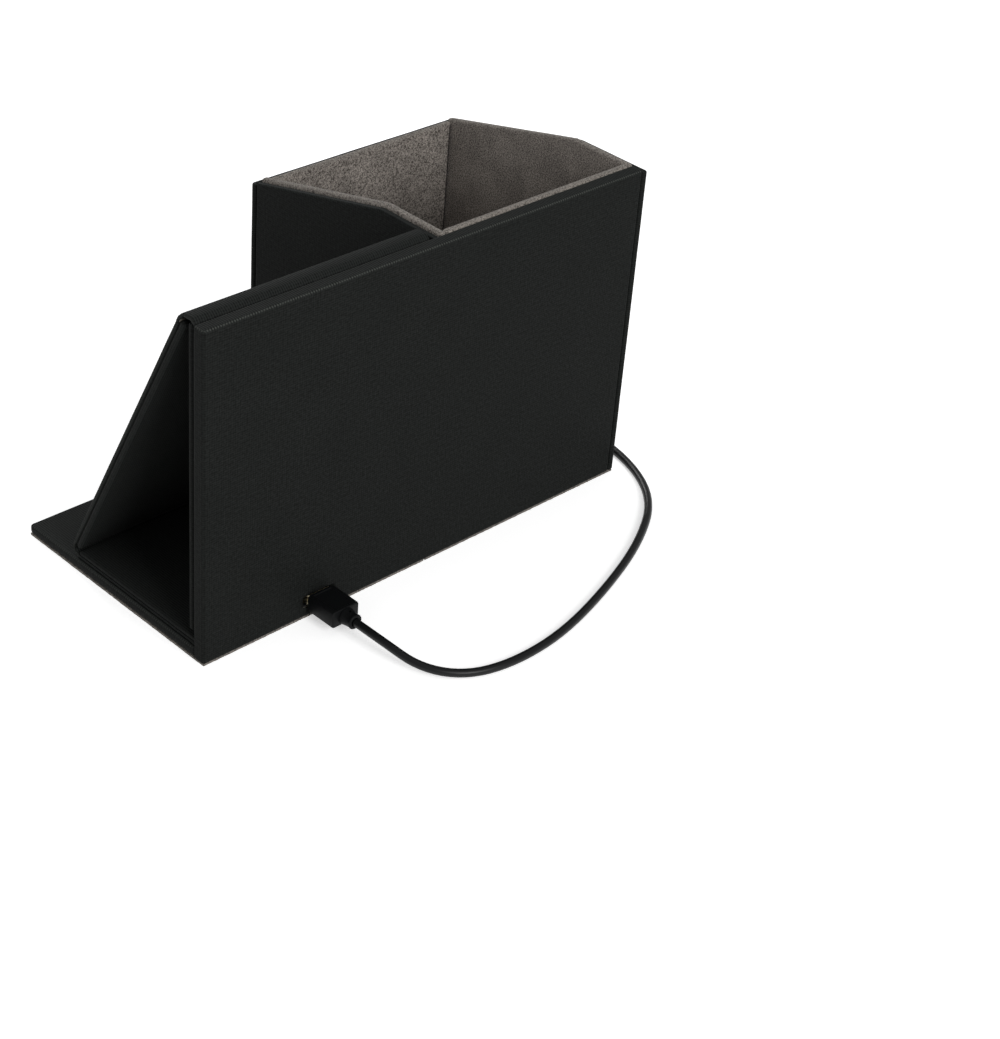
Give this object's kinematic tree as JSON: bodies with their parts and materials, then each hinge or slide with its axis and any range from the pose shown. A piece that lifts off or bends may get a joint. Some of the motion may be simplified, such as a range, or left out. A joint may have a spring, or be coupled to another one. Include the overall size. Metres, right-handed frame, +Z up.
{
  "type": "wireless charger pen holder",
  "caption": "Desk organiser in charcoal leather-grain board: a suede-lined pen cup beside a folded leaning panel that holds and charges a phone, fed by a cord in its rear port.",
  "frame": {"origin": "on the table under the middle of the organiser's footprint, cord left out", "axes": "+X along the rear panel towards the charging stand, +Y towards the rear face with the port, +Z up"},
  "size_m": [0.1709, 0.1856, 0.1029],
  "materials": {
    "charcoal_leather": "matte leather-grain cloth over board",
    "grey_suede": "short-pile suede",
    "greyboard": "plain",
    "plated_steel": "bright plated",
    "contact_plastic": "matte",
    "insert_plastic": "matte",
    "circuit_board": "green solder mask",
    "chip_plastic": "matte",
    "copper_winding": "lacquered copper",
    "ferrite": "matte",
    "lead_film": "amber film",
    "black_plug": "moulded satin",
    "cord_jacket": "smooth",
    "tie_strap": "woven"
  },
  "bodies": {
    "root": {"back_liner_board": "greyboard", "back_liner_cover": "charcoal_leather", "base_flap_board": "greyboard", "base_flap_cover": "charcoal_leather", "charge_lead_lower": "lead_film", "cord_coil": "cord_jacket", "cord_tie": "tie_strap", "cord_tube": "cord_jacket", "cup_base_pad": "grey_suede", "cup_floor_board": "greyboard", "cup_floor_suede": "grey_suede", "end_wall_board": "greyboard", "end_wall_cover": "charcoal_leather", "front_wall_board": "greyboard", "front_wall_cover": "charcoal_leather", "inner_wall_board": "greyboard", "inner_wall_cover": "charcoal_leather", "lining_end_board": "greyboard", "lining_end_suede": "grey_suede", "lining_front_board": "greyboard", "lining_front_suede": "grey_suede", "lining_inner_board": "greyboard", "lining_inner_suede": "grey_suede", "lining_rear_board": "greyboard", "lining_rear_suede": "grey_suede", "plug_body": "black_plug", "plug_boot": "black_plug", "plug_shell": "plated_steel", "rear_board": "greyboard", "rear_cover": "charcoal_leather", "sleeve_back_strip": "charcoal_leather", "socket_board": "circuit_board", "stand_base_pad": "grey_suede", "top_fold_skin": "charcoal_leather", "usb_a_body": "black_plug", "usb_a_insert": "insert_plastic", "usb_a_shell": "plated_steel", "usb_socket_shell": "plated_steel", "usb_socket_tongue": "contact_plastic"},
    "charging_panel": {"panel_front_board": "greyboard", "panel_front_cover": "charcoal_leather", "panel_liner_board": "greyboard", "panel_liner_cover": "charcoal_leather", "charging_coil": "copper_winding", "ferrite_sheet": "ferrite", "charger_board": "circuit_board", "charger_chips": "chip_plastic", "charge_lead_upper": "lead_film", "foot_fold_skin": "charcoal_leather"},
    "foot_panel": {"foot_strip": "charcoal_leather", "foot_liner_board": "greyboard", "foot_liner_cover": "charcoal_leather"}
  },
  "joints": [
    {"name": "panel_lift", "type": "hinge", "parent": "root", "child": "charging_panel", "pos_m": [0, 0.02936, 0.1024], "axis": [-1, 0, 0], "range_deg": [0, 90]},
    {"name": "foot_fold", "type": "hinge", "parent": "charging_panel", "child": "foot_panel", "pos_m": [0, -0.0169, 0.0065], "axis": [1, 0, 0], "range_deg": [0, 58.5]}
  ],
  "couplings": [
    {"joint": "foot_fold", "follows": "panel_lift", "ratio": 0.65}
  ]
}
